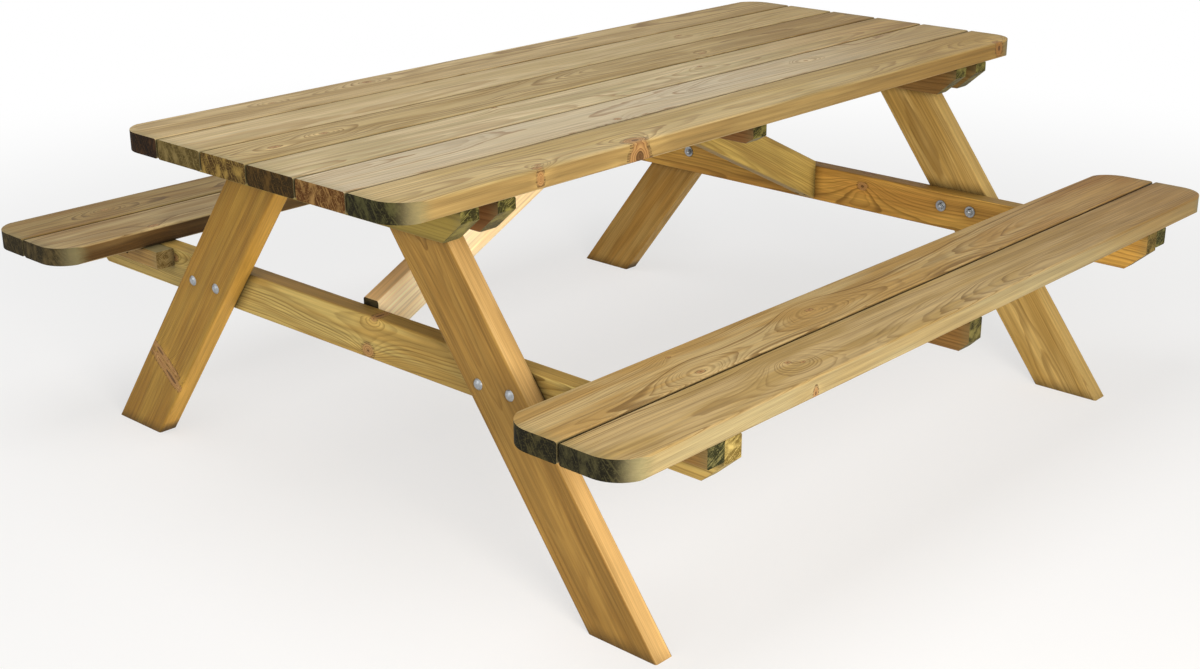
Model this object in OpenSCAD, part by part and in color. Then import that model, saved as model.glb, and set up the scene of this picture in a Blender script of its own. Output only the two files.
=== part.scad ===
// A-frame picnic table with two fixed seats, in planed and pressure-treated softwood.
// +X runs along the tabletop, -Y is the front seat's side and +Z is up. The origin is on the
// ground under the middle of the table. Left means -X and right means +X. All sizes in mm.

/* [Tabletop] */
// Length of the tabletop boards
top_l = 1800; // [1650:10:2000]
// Height of the table's surface above the ground
top_h = 700; // [680:5:760]
// Gap between neighbouring tabletop boards
top_gap = 5; // [3:0.5:8]

/* [Seats] */
// Length by which a seat's ends stand out past the tabletop's ends
seat_overhang = 20; // [-20:5:40]
// Height of the seats' surface above the ground
seat_h = 430; // [415:5:460]
// Distance from the table's centre line to the middle of each seat
seat_reach = 711; // [690:1:740]
// Gap between the two boards of a seat
seat_gap = 5; // [3:0.5:8]

/* [Boards] */
// Width of each tabletop and seat board
board_w = 120; // [110:1:126]
// Thickness of each tabletop and seat board
board_t = 35; // [32:1:40]
// Radius of the rounded outer corners of the tabletop and the seats
corner_r = 60; // [20:1:90]
// Radius of the eased long edges of all timber
edge_r = 4; // [2:0.5:6]

/* [Legs] */
// Width of a leg
leg_w = 115; // [100:1:125]
// Thickness of a leg
leg_t = 40; // [36:1:45]
// Lean of the legs from upright, in degrees
leg_lean = 37; // [35:0.5:38]
// Distance from the table's centre line to the middle of a leg where it meets the tabletop
leg_reach = 165; // [160:1:170]
// Overhang of the tabletop's ends beyond the outer faces of the legs
leg_inset = 165; // [130:5:240]

/* [Beams] */
// Thickness of the beams that run across the table
beam_t = 40; // [36:1:45]
// Height of the four beams under the tabletop that are bolted to the legs
top_beam_h = 60; // [56:1:70]
// Height of the long beams that carry the seats
seat_beam_h = 80; // [76:1:95]
// Set-back of the beam ends behind the boards' long edges
beam_set_back = 3; // [1:0.5:10]
// Length of the sloping cut under a beam end
beam_cut_l = 45; // [30:1:60]
// Height of the sloping cut under a beam end
beam_cut_h = 40; // [25:1:45]
// Height of the centre beam under the tabletop
centre_beam_h = 40; // [39:1:50]
// Set-back of the centre beam's ends behind the tabletop's long edges
centre_beam_set_back = 20; // [5:1:25]
// Length of the sloping cut under an end of the centre beam
centre_cut_l = 20; // [10:1:30]
// Height of the sloping cut under an end of the centre beam
centre_cut_h = 12; // [8:1:20]
// Length of the short block under each seat end
block_l = 285; // [240:1:290]
// Height of the short block under each seat end
block_h = 35; // [34:1:45]
// Thickness of the batten under the middle of each seat
batten_t = 40; // [36:1:45]
// Height of the batten under the middle of each seat
batten_h = 60; // [50:1:70]
// Length and height of the sloping cut under a batten end
batten_cut = 20; // [10:1:30]

/* [Braces] */
// Width of a slanting brace
brace_w = 80; // [70:1:90]
// Thickness of a slanting brace
brace_t = 40; // [36:1:45]
// Height of a brace's top corner above the seat beam that it butts against
brace_rise = 12; // [5:1:20]
// Height over which a brace bears on the centre beam
brace_bearing = 36; // [25:1:38]

/* [Bolts] */
// Diameter of the carriage bolts
bolt_d = 8; // [6:1:10]
// Slack of a bolt in its hole, on the diameter
bolt_slack = 1; // [0.5:0.1:2]
// Distance between the two bolts of a joint
bolt_pitch = 72; // [60:1:80]
// Depth of the seat beam's bolts below its top edge
seat_bolt_drop = 30; // [26:1:40]
// Depth of the upper bolts below the tabletop's underside
top_bolt_drop = 30; // [26:1:36]
// Diameter of a bolt's domed head
bolt_head_d = 20; // [16:0.5:22]
// Height of a bolt's domed head
bolt_head_h = 5; // [4:0.5:6]
// Depth of the square neck under a bolt's head
neck_h = 4.5; // [3:0.5:6]
// Play of the square neck in its recess, on the width
neck_play = 0.3; // [0.1:0.1:1]
// Length of thread that stands proud of a nut
bolt_tail = 4; // [2:0.5:8]
// Outer diameter of a washer
washer_d = 24; // [20:0.5:28]
// Thickness of a washer
washer_t = 2; // [1.5:0.1:3]
// Width of a nut across its flats
nut_af = 13; // [13:0.5:17]
// Height of a nut
nut_h = 6.5; // [5:0.5:8]
// Play of nuts and washers on the bolt, on the diameter
nut_play = 0.2; // [0.1:0.05:0.5]

/* [Screws] */
// Diameter of the wood screws
screw_d = 5; // [4:0.5:6]
// Thickness of wood that a screw clamps against the piece it enters
screw_grip = 30; // [26:1:30]
// Depth to which a screw enters the second piece
screw_bite = 25; // [20:1:28]
// Diameter of a screw's head
screw_head_d = 10; // [8:0.5:12]
// Height of a screw's head
screw_head_h = 3; // [2:0.5:4]
// Play of a screw in its hole, on the diameter
screw_play = 0.2; // [0.1:0.05:0.5]
// Play of a screw's head in its counterbore, on the diameter
head_play = 1; // [0.5:0.1:2]
// Distance between the two screws that hold a seat board to a support
screw_pitch = 60; // [50:1:70]

/* [Hidden] */
$fn = 48;
TOP_BOARDS = 6;

top_w = TOP_BOARDS * board_w + (TOP_BOARDS - 1) * top_gap;
top_under = top_h - board_t;
seat_under = seat_h - board_t;
seat_edge = seat_reach + seat_gap / 2 + board_w;

seat_l = top_l + 2 * seat_overhang;

// Stations along X, from the outer face of an A-frame's legs
frame_reach = top_l / 2 - leg_inset;
leg_in = frame_reach - leg_t;
beam_in = leg_in - beam_t;
beam_out = frame_reach + beam_t;

// Distance of a leg's middle line from the table's centre line at height z
function leg_y(z) = leg_reach + (top_under - z) * tan(leg_lean);

seat_bolt_z = seat_under - seat_bolt_drop;
top_bolt_z = top_under - top_bolt_drop;
bolt_hole_d = bolt_d + bolt_slack;
neck_w = bolt_d;

top_beam_l = top_w - 2 * beam_set_back;
centre_beam_l = top_w - 2 * centre_beam_set_back;
seat_beam_l = 2 * (seat_edge - beam_set_back);
batten_l = 2 * board_w + seat_gap - 2 * beam_set_back;

// A brace runs up from the seat beam's inner face to the centre beam's side
brace_foot_x = beam_in;
brace_head_x = beam_t / 2;
brace_top_z = seat_under + brace_rise;
brace_run = brace_foot_x - brace_head_x;
brace_climb = top_under - brace_bearing - brace_top_z;
brace_a = atan2(brace_climb, brace_run) + asin(brace_w / norm([brace_run, brace_climb]));
brace_low_z = brace_top_z - brace_w / cos(brace_a);
brace_screw_x = (brace_head_x + brace_foot_x - (top_under - brace_top_z) / tan(brace_a)) / 2;

screw_l = screw_grip + screw_bite;
screw_hole_d = screw_d + screw_play;
counterbore_d = screw_head_d + head_play;
board_y = [for (i = [0:TOP_BOARDS - 1]) (i + 0.5) * board_w + i * top_gap - top_w / 2];
seat_board_y = [seat_reach - (seat_gap + board_w) / 2, seat_reach + (seat_gap + board_w) / 2];
top_beam_x = [-frame_reach - beam_t / 2, -leg_in + beam_t / 2, 0,
              leg_in - beam_t / 2, frame_reach + beam_t / 2];
seat_screw_y = [for (y = seat_board_y) for (s = [-1, 1]) y + s * screw_pitch / 2];
block_x = frame_reach - leg_t / 2;
block_z = seat_under - block_h / 2;

// ---- shared forms ----

// Section of planed timber with its four long edges eased
module eased_section(w, h) {
    translate([edge_r, 0]) square([w - 2 * edge_r, h]);
    translate([0, edge_r]) square([w, h - 2 * edge_r]);
    for (x = [edge_r, w - edge_r], y = [edge_r, h - edge_r]) translate([x, y]) circle(edge_r);
}

// Timber along +X: width w along Y and height h along Z
module timber(l, w, h) {
    rotate([90, 0, 90]) linear_extrude(l) eased_section(w, h);
}

// Mirrors the right rear quarter into the one asked for: end is 1 right or -1 left,
// side is 1 rear or -1 front
module quarter(end, side) {
    mirror([end < 0 ? 1 : 0, 0, 0]) mirror([0, side < 0 ? 1 : 0, 0]) children();
}

// A wood screw along +Z: the underside of its head is at the origin
module screw() {
    rotate_extrude() polygon([
        [0, -screw_head_h], [screw_head_d / 2, -screw_head_h], [screw_head_d / 2, 0],
        [screw_d / 2, 0], [screw_d / 2, screw_l - 1.5 * screw_d], [0, screw_l]
    ]);
}

// The hole for a screw, with a counterbore that runs down past the surface it starts from
module screw_hole(bore) {
    cylinder(d = screw_hole_d, h = screw_l + screw_play);
    translate([0, 0, -bore]) cylinder(d = counterbore_d, h = bore);
}

// A carriage bolt along -X: the dome's underside is at the origin, l is its length below that
module bolt(l) {
    dome_r = (pow(bolt_head_d / 2, 2) + pow(bolt_head_h, 2)) / (2 * bolt_head_h);
    rotate([0, 90, 0]) rotate_extrude() intersection() {
        translate([0, bolt_head_h - dome_r]) circle(dome_r);
        square([bolt_head_d, bolt_head_h]);
    }
    translate([-neck_h, -neck_w / 2, -neck_w / 2]) cube([neck_h, neck_w, neck_w]);
    rotate([0, -90, 0]) cylinder(d = bolt_d, h = l);
}

// The hole for a carriage bolt along -X, with the square recess for its neck
module bolt_hole(l) {
    neck = neck_w + neck_play;
    translate([-neck_h - neck_play, -neck / 2, -neck / 2]) cube([2 * neck_h, neck, neck]);
    rotate([0, -90, 0]) translate([0, 0, -1]) cylinder(d = bolt_hole_d, h = l + 2);
}

// The two bolt places of a joint, level with each other and centred on the leg
module joint_bolts(z) {
    for (s = [-1, 1]) translate([0, leg_y(z) + s * bolt_pitch / 2, z]) children();
}

// ---- tabletop and seats ----

// A board along X, centred on x = 0, with both corners of its +Y edge rounded when rounded is true
module board(l, rounded) {
    intersection() {
        translate([-l / 2, -board_w / 2, 0]) timber(l, board_w, board_t);
        linear_extrude(board_t) {
            translate([-l / 2, -board_w / 2])
                square([l, rounded ? board_w - corner_r : board_w]);
            if (rounded) {
                translate([corner_r - l / 2, -board_w / 2]) square([l - 2 * corner_r, board_w]);
                for (s = [-1, 1])
                    translate([s * (l / 2 - corner_r), board_w / 2 - corner_r]) circle(corner_r);
            }
        }
    }
}

module top_board(i) {
    outer = i == 0 || i == TOP_BOARDS - 1;
    color("tan") difference() {
        translate([0, board_y[i], top_under]) mirror([0, i == 0 ? 1 : 0, 0]) board(top_l, outer);
        tabletop_screw_places(i) screw_hole(1);
        if (i == TOP_BOARDS / 2 - 1) brace_top_screw_places(-1) screw_hole(1);
        if (i == TOP_BOARDS / 2) brace_top_screw_places(1) screw_hole(1);
    }
}

// Screws that come up through the five beams into tabletop board i
module tabletop_screw_places(i) {
    for (x = top_beam_x) translate([x, board_y[i], top_under - screw_grip]) children();
}

// A seat board: side is 1 rear or -1 front, k is 0 inner or 1 outer
module seat_board(side, k) {
    color("burlywood") difference() {
        mirror([0, side < 0 ? 1 : 0, 0]) translate([0, seat_board_y[k], seat_under])
            mirror([0, k == 0 ? 1 : 0, 0]) board(seat_l, true);
        seat_screw_places(side) screw_hole(1);
    }
}

// Screws that come up through the blocks and the batten into one seat
module seat_screw_places(side) {
    for (x = [-block_x, 0, block_x], y = seat_screw_y)
        translate([x, side * y, seat_under - screw_grip]) children();
}

// ---- A-frames ----

// A leg, cut level at the foot and under the tabletop; side is 1 rear or -1 front
module leg(end, side) {
    cut = 2 * leg_w;
    color("peru") quarter(end, side) difference() {
        intersection() {
            translate([leg_in, leg_y(0), 0]) rotate([leg_lean, 0, 0])
                translate([0, -leg_w / 2, -cut])
                linear_extrude(top_under / cos(leg_lean) + 2 * cut) eased_section(leg_t, leg_w);
            translate([leg_in, 0, 0]) cube([leg_t, leg_y(0) + cut, top_under]);
        }
        joint_bolts(seat_bolt_z) translate([frame_reach, 0, 0]) bolt_hole(leg_t);
        joint_bolts(top_bolt_z) translate([beam_out, 0, 0]) bolt_hole(beam_t + leg_t);
    }
}

// A beam along Y, centred on y = 0, from z = 0 up, its ends cut away underneath
module beam(l, t, h, cut_l, cut_h) {
    difference() {
        translate([t / 2, -l / 2, 0]) rotate([0, 0, 90]) timber(l, t, h);
        for (s = [0, 1]) mirror([0, s, 0]) translate([-t, l / 2, 0]) rotate([90, 0, 90])
            linear_extrude(2 * t) polygon([[1, -1], [-cut_l * (1 + 1 / cut_h), -1],
                                           [-cut_l, 0], [0, cut_h], [1, cut_h]]);
    }
}

// A beam under the tabletop at station x, bolted to the two legs of an A-frame
module top_beam(x) {
    color("sienna") difference() {
        translate([x, 0, top_under - top_beam_h])
            beam(top_beam_l, beam_t, top_beam_h, beam_cut_l, beam_cut_h);
        for (y = board_y) translate([x, y, top_under - screw_grip]) screw_hole(top_beam_h);
        for (side = [-1, 1]) quarter(sign(x), side) joint_bolts(top_bolt_z)
            translate([beam_out, 0, 0]) bolt_hole(2 * beam_t + leg_t);
    }
}

// The shallower beam under the middle of the tabletop, which the braces' heads butt against
module centre_beam() {
    color("sienna") difference() {
        translate([0, 0, top_under - centre_beam_h])
            beam(centre_beam_l, beam_t, centre_beam_h, centre_cut_l, centre_cut_h);
        for (y = board_y) translate([0, y, top_under - screw_grip]) screw_hole(centre_beam_h);
    }
}

// The long beam that ties an A-frame's legs and carries both seats
module seat_beam(end) {
    color("goldenrod") difference() {
        translate([end * (leg_in - beam_t / 2), 0, seat_under - seat_beam_h])
            beam(seat_beam_l, beam_t, seat_beam_h, beam_cut_l, beam_cut_h);
        for (side = [-1, 1]) quarter(end, side) {
            joint_bolts(seat_bolt_z) translate([frame_reach, 0, 0]) bolt_hole(leg_t + beam_t);
            block_screw_places() screw_hole(1);
        }
        brace_foot_screw_places(end) screw_hole(1);
    }
}

// The short block beside the seat beam that takes the seat's screws
module seat_block(end, side) {
    color("darkgoldenrod") quarter(end, side) difference() {
        translate([frame_reach, seat_edge - beam_set_back - block_l, seat_under - block_h])
            rotate([0, 0, 90]) timber(block_l, leg_t, block_h);
        for (y = seat_screw_y) translate([block_x, y, seat_under - screw_grip])
            screw_hole(block_h);
        block_screw_places() screw_hole(leg_t);
    }
}

// Screws that go inwards through a block into the seat beam, one under each seat board
module block_screw_places() {
    for (y = seat_board_y) translate([leg_in + screw_grip, y, block_z])
        rotate([0, -90, 0]) children();
}

// The batten under the middle of a seat
module seat_batten(side) {
    color("sienna") difference() {
        translate([0, side * seat_reach, seat_under - batten_h])
            beam(batten_l, batten_t, batten_h, batten_cut, batten_cut);
        for (y = seat_screw_y) translate([0, side * y, seat_under - screw_grip])
            screw_hole(batten_h);
    }
}

// ---- braces ----

// A slanting brace: cut upright where it meets the two beams and level under the tabletop
module brace(end) {
    slope = tan(brace_a);
    reach = 2 * brace_w;
    color("orange") difference() {
        mirror([end < 0 ? 1 : 0, 0, 0]) intersection() {
            translate([brace_foot_x, brace_t / 2, brace_low_z]) rotate([0, brace_a - 180, 0])
                translate([-reach, -brace_t, -brace_w]) timber(brace_run + 3 * reach, brace_t, brace_w);
            translate([brace_head_x, -brace_t, brace_low_z])
                cube([brace_run, 2 * brace_t, top_under - brace_low_z]);
        }
        brace_foot_screw_places(end) screw_hole(screw_l);
        for (side = [-1, 1]) brace_top_screw_places(side) screw_hole(top_beam_h);
    }
}

// Two slanting screws that pin a brace's foot to the seat beam
module brace_foot_screw_places(end) {
    for (s = [-1, 1]) mirror([end < 0 ? 1 : 0, 0, 0])
        translate([brace_foot_x, s * brace_t / 4, (brace_low_z + seat_under) / 2])
        rotate([0, 45, 0]) translate([0, 0, -screw_grip]) children();
}

// Screws from below through both braces' heads into the middle board on one side of the
// centre line: side is 1 rear or -1 front
module brace_top_screw_places(side) {
    for (end = [-1, 1]) translate([end * brace_screw_x, side * brace_t / 4, top_under - screw_grip])
        children();
}

// ---- fasteners ----

module seat_beam_bolts() {
    color("silver") for (end = [-1, 1], side = [-1, 1]) quarter(end, side)
        joint_bolts(seat_bolt_z) translate([frame_reach, 0, 0])
            bolt(leg_t + beam_t + washer_t + nut_h + bolt_tail);
}

module top_beam_bolts() {
    color("silver") for (end = [-1, 1], side = [-1, 1]) quarter(end, side)
        joint_bolts(top_bolt_z) translate([beam_out, 0, 0])
            bolt(leg_t + 2 * beam_t + washer_t + nut_h + bolt_tail);
}

// Every place on a beam's inner face where a washer and a nut go, facing -X
module nut_places() {
    for (end = [-1, 1], side = [-1, 1]) quarter(end, side) translate([beam_in, 0, 0]) {
        joint_bolts(seat_bolt_z) rotate([0, -90, 0]) children();
        joint_bolts(top_bolt_z) rotate([0, -90, 0]) children();
    }
}

module washers() {
    color("gainsboro") nut_places() difference() {
        cylinder(d = washer_d, h = washer_t);
        translate([0, 0, -1]) cylinder(d = bolt_d + nut_play, h = washer_t + 2);
    }
}

module nuts() {
    color("lightgray") nut_places() translate([0, 0, washer_t]) difference() {
        cylinder(d = nut_af / cos(30), h = nut_h, $fn = 6);
        translate([0, 0, -1]) cylinder(d = bolt_d + nut_play, h = nut_h + 2);
    }
}

module tabletop_screws() {
    color("gray") for (i = [0:TOP_BOARDS - 1]) tabletop_screw_places(i) screw();
}

module seat_screws() {
    color("gray") for (side = [-1, 1]) seat_screw_places(side) screw();
}

module block_screws() {
    color("gray") for (end = [-1, 1], side = [-1, 1]) quarter(end, side)
        block_screw_places() screw();
}

module brace_screws() {
    color("gray") {
        for (end = [-1, 1]) brace_foot_screw_places(end) screw();
        for (side = [-1, 1]) brace_top_screw_places(side) screw();
    }
}

for (i = [0:TOP_BOARDS - 1]) top_board(i);
seat_board(-1, 1);  // front_seat_outer_board
seat_board(-1, 0);  // front_seat_inner_board
seat_board(1, 0);  // rear_seat_inner_board
seat_board(1, 1);  // rear_seat_outer_board
leg(-1, -1);  // leg_front_left
leg(-1, 1);  // leg_rear_left
leg(1, -1);  // leg_front_right
leg(1, 1);  // leg_rear_right
top_beam(top_beam_x[0]);  // top_beam_left_outer
top_beam(top_beam_x[1]);  // top_beam_left_inner
centre_beam();  // top_beam_centre
top_beam(top_beam_x[3]);  // top_beam_right_inner
top_beam(top_beam_x[4]);  // top_beam_right_outer
seat_beam(-1);  // seat_beam_left
seat_beam(1);  // seat_beam_right
seat_block(-1, -1);  // seat_block_front_left
seat_block(-1, 1);  // seat_block_rear_left
seat_block(1, -1);  // seat_block_front_right
seat_block(1, 1);  // seat_block_rear_right
seat_batten(-1);  // seat_batten_front
seat_batten(1);  // seat_batten_rear
brace(-1);  // brace_left
brace(1);  // brace_right
seat_beam_bolts();
top_beam_bolts();
washers();
nuts();
tabletop_screws();
seat_screws();
block_screws();
brace_screws();
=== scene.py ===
"""A-frame picnic table with two fixed seats, in planed and pressure-treated pine.
Left is -X and right is +X, and the front seat is on the -Y side. Sizes are in metres, but in
millimetres in a stick's own frame and in values named _MM."""
import math

import bmesh
import bpy
from mathutils import Matrix, Vector


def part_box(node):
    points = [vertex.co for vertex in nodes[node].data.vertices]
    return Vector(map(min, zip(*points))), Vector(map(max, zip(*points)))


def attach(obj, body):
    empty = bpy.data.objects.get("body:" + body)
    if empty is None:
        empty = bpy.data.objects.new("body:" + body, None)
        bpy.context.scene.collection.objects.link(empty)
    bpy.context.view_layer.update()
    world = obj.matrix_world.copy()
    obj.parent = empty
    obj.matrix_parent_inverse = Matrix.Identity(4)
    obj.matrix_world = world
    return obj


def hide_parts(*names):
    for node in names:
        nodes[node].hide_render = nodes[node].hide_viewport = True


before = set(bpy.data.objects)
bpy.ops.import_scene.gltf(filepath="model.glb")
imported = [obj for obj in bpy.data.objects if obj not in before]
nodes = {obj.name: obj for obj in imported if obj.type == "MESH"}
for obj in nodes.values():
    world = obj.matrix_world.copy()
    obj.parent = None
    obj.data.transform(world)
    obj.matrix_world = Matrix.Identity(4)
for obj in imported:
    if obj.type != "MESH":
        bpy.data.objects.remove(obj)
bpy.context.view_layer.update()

# ---- Studio ----
# A pale floor under soft light: a large softbox low at the front left, weak ones on the left and
# overhead, and an even white surround. The right end of the table is further from all of them.
scene = bpy.context.scene
scene.view_settings.view_transform = "Standard"

# The camera stands 1.4 m high off the front left corner, and looks down by 20 degrees
camera = bpy.data.objects.new("camera", bpy.data.cameras.new("camera"))
scene.collection.objects.link(camera)
scene.camera = camera
camera.data.sensor_width = 36.0
camera.data.lens = 51.369
camera.matrix_world = (
    Matrix.Translation((-2.4892, -2.2295, 1.4039))
    @ Matrix.Rotation(math.radians(-47.505), 4, "Z")
    @ Matrix.Rotation(math.radians(90 - 20.434), 4, "X")
    @ Matrix.Rotation(math.radians(-0.153), 4, "Z")
)


def add(tree, kind, inputs=None, **settings):
    """Adds a node: settings are its own properties, and inputs are values or other sockets."""
    made = tree.nodes.new(kind)
    for name, value in settings.items():
        setattr(made, name, value)
    for name, value in (inputs or {}).items():
        if isinstance(value, bpy.types.NodeSocket):
            tree.links.new(value, made.inputs[name])
        else:
            made.inputs[name].default_value = value
    return made


# 1 for rays that look at a thing, 0 for rays that only light it
watching = bpy.data.node_groups.new("watching rays", "ShaderNodeTree")
watching.interface.new_socket("Share", in_out="OUTPUT", socket_type="NodeSocketFloat")
rays = add(watching, "ShaderNodeLightPath").outputs
seen = add(
    watching, "ShaderNodeMath", {0: rays["Is Camera Ray"], 1: rays["Is Glossy Ray"]}, operation="MAXIMUM"
)
seen = add(
    watching, "ShaderNodeMath", {0: seen.outputs[0], 1: rays["Is Transmission Ray"]}, operation="MAXIMUM"
)
add(watching, "NodeGroupOutput", {"Share": seen.outputs[0]})


def tone(hex_code):
    """An sRGB hex colour as linear RGBA."""
    parts = [int(hex_code[i : i + 2], 16) / 255 for i in (1, 3, 5)]
    return (*[p / 12.92 if p <= 0.04045 else ((p + 0.055) / 1.055) ** 2.4 for p in parts], 1.0)


# The surround is white to look at, and lights the table with less than half of that
SURROUND = 0.40
world = bpy.data.worlds.new("white surround")
scene.world = world
world.use_nodes = True
tree = world.node_tree
tree.nodes.clear()
seen = add(tree, "ShaderNodeGroup", node_tree=watching)
light = add(tree, "ShaderNodeBackground", {"Color": tone("#ffffff"), "Strength": SURROUND})
backdrop = add(tree, "ShaderNodeBackground", {"Color": tone("#ffffff"), "Strength": 1.0})
mixed = add(
    tree, "ShaderNodeMixShader", {0: seen.outputs[0], 1: light.outputs[0], 2: backdrop.outputs[0]}
)
add(tree, "ShaderNodeOutputWorld", {"Surface": mixed.outputs[0]})


def softbox(name, place, aim, size, power, colour):
    light = bpy.data.objects.new(name, bpy.data.lights.new(name, "AREA"))
    light.data.shape = "SQUARE"
    light.data.size = size
    light.data.energy = power
    light.data.color = tone(colour)[:3]
    light.location = place
    light.rotation_euler = (Vector(aim) - Vector(place)).to_track_quat("-Z", "Y").to_euler()
    scene.collection.objects.link(light)


softbox("key softbox", (-2.1, -3.5, 1.35), (-0.3, 0, 0.45), 1.5, 124, "#fff6ea")
softbox("left softbox", (-4.6, 0.6, 2.2), (0, 0, 0.4), 2.4, 22, "#f2f6ff")
softbox("overhead softbox", (-1.0, -0.1, 3.9), (-0.4, 0, 0.4), 2.4, 46, "#fbfcff")

FLOOR_HALF = 15.0
floor_mesh = bpy.data.meshes.new("floor")
corners = [(x, y, 0) for x, y in ((-1, -1), (1, -1), (1, 1), (-1, 1))]
floor_mesh.from_pydata([Vector(c) * FLOOR_HALF for c in corners], [], [(0, 1, 2, 3)])
floor = bpy.data.objects.new("floor", floor_mesh)
scene.collection.objects.link(floor)


def empty_material(name):
    made = bpy.data.materials.new(name)
    made.use_nodes = True
    made.node_tree.nodes.clear()
    return made


# Matt white floor paint: no shine at all. It keeps the table's soft shadow near the table, and
# runs out into the white of the surround.
paint = empty_material("matt white floor paint")
tree = paint.node_tree
place = add(tree, "ShaderNodeTexCoord")
reach = add(tree, "ShaderNodeVectorMath", {0: place.outputs["Object"]}, operation="LENGTH")
fade = add(
    tree,
    "ShaderNodeMapRange",
    {"Value": reach.outputs["Value"], "From Min": 1.3, "From Max": 3.6, "To Min": 0.62, "To Max": 1.0},
    interpolation_type="SMOOTHSTEP",
)
seen = add(tree, "ShaderNodeGroup", node_tree=watching)
share = add(tree, "ShaderNodeMath", {0: fade.outputs[0], 1: seen.outputs[0]}, operation="MULTIPLY")
matt = add(tree, "ShaderNodeBsdfDiffuse", {"Color": tone("#f5f4f2")})
white = add(tree, "ShaderNodeEmission", {"Color": tone("#ffffff"), "Strength": 1.0})
mixed = add(
    tree, "ShaderNodeMixShader", {0: share.outputs[0], 1: matt.outputs[0], 2: white.outputs[0]}
)
add(tree, "ShaderNodeOutputMaterial", {"Surface": mixed.outputs[0]})
floor_mesh.materials.append(paint)

# ---- Tabletop ----
# Six boards 120 x 35 mm with 5 mm gaps, screwed to five beams from below. Each board comes from
# another tree, so their tones and grain differ, from straw and pink-grey to olive brown.

# Pressure-treated Scots pine, planed, as in every other stick of the table: dull, warm brown,
# striped by its growth rings, and darker and greener at its ends. The grain is worked out in the
# solid, so that lines run on over the edges: rings round a pith, and branches that push them
# aside. In a stick's own frame X runs along the grain, Y across its width and Z through its
# thickness, in millimetres from its middle.
NUMBER = "NodeSocketFloat"
VECTOR = "NodeSocketVector"
COLOUR = "NodeSocketColor"


def new_group(name, ins, outs):
    """An empty node group with named sockets, and the sockets that bring its inputs."""
    made = bpy.data.node_groups.new(name, "ShaderNodeTree")
    for label, kind in ins.items():
        made.interface.new_socket(label, in_out="INPUT", socket_type=kind)
    for label, kind in outs.items():
        made.interface.new_socket(label, in_out="OUTPUT", socket_type=kind)
    return made, add(made, "NodeGroupInput").outputs


# Noise in blotches of a given size in mm
blotches, source = new_group(
    "blotches",
    {"Place": VECTOR, "Size": VECTOR, "Shift": VECTOR, "Detail": NUMBER},
    {"Fac": NUMBER, "Color": COLOUR},
)
scaled = add(
    blotches, "ShaderNodeVectorMath", {0: source["Place"], 1: source["Size"]}, operation="DIVIDE"
)
shifted = add(
    blotches, "ShaderNodeVectorMath", {0: scaled.outputs[0], 1: source["Shift"]}, operation="ADD"
)
cloud = add(
    blotches,
    "ShaderNodeTexNoise",
    {"Vector": shifted.outputs[0], "Scale": 1.0, "Detail": source["Detail"], "Roughness": 0.55},
)
add(blotches, "NodeGroupOutput", {"Fac": cloud.outputs["Fac"], "Color": cloud.outputs["Color"]})

# One branch, from the pith outwards. It swells the rings round it, and its ratio is the distance
# from its own middle as a share of its radius. Lengths along the grain count for little more than
# half, so that knots are drawn out along it.
ALONG_SHARE = 0.55
branch, source = new_group(
    "branch",
    {
        "Place": VECTOR,
        "Foot": VECTOR,
        "Heading": VECTOR,
        "Radius": NUMBER,
        "Reach": NUMBER,
        "Swell": NUMBER,
    },
    {"Swell": NUMBER, "Ratio": NUMBER},
)
offset = add(
    branch, "ShaderNodeVectorMath", {0: source["Place"], 1: source["Foot"]}, operation="SUBTRACT"
)
squeezed = add(
    branch,
    "ShaderNodeVectorMath",
    {0: offset.outputs[0], 1: (ALONG_SHARE, 1, 1)},
    operation="MULTIPLY",
)
beside = add(
    branch,
    "ShaderNodeVectorMath",
    {0: squeezed.outputs[0], 1: source["Heading"]},
    operation="CROSS_PRODUCT",
)
away = add(branch, "ShaderNodeVectorMath", {0: beside.outputs[0]}, operation="LENGTH").outputs["Value"]
ratio = add(branch, "ShaderNodeMath", {0: away, 1: source["Radius"]}, operation="DIVIDE")
spread = add(branch, "ShaderNodeMath", {0: away, 1: source["Reach"]}, operation="DIVIDE")
steep = add(branch, "ShaderNodeMath", {0: spread.outputs[0], 1: 1.5}, operation="POWER")
falling = add(branch, "ShaderNodeMath", {0: steep.outputs[0], 1: -1.0}, operation="MULTIPLY")
bell = add(branch, "ShaderNodeMath", {0: falling.outputs[0]}, operation="EXPONENT")
push = add(branch, "ShaderNodeMath", {0: bell.outputs[0], 1: source["Swell"]}, operation="MULTIPLY")
add(branch, "NodeGroupOutput", {"Swell": push.outputs[0], "Ratio": ratio.outputs[0]})

# The pine of one stick, from its pith, its branches, its tones and its length
wood, source = new_group(
    "solid pine",
    {
        "Place": VECTOR,
        "Pith": VECTOR,
        "Tilt": VECTOR,
        "Ring": NUMBER,
        "Seed": NUMBER,
        "Swell": NUMBER,
        "Ratio": NUMBER,
        "Half": NUMBER,
        "End face": NUMBER,
        "Edge face": NUMBER,
        "Earlywood": COLOUR,
        "Latewood": COLOUR,
        "Flush": COLOUR,
        "Edge": COLOUR,
        "End dark": COLOUR,
        "End light": COLOUR,
        "Contrast": NUMBER,
        "Far end shade": COLOUR,
    },
    {"Color": COLOUR, "Roughness": NUMBER, "Height": NUMBER},
)
here = source["Place"]
shift = add(
    wood, "ShaderNodeVectorMath", {0: (13.7, 5.9, 9.1), "Scale": source["Seed"]}, operation="SCALE"
).outputs[0]

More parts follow.
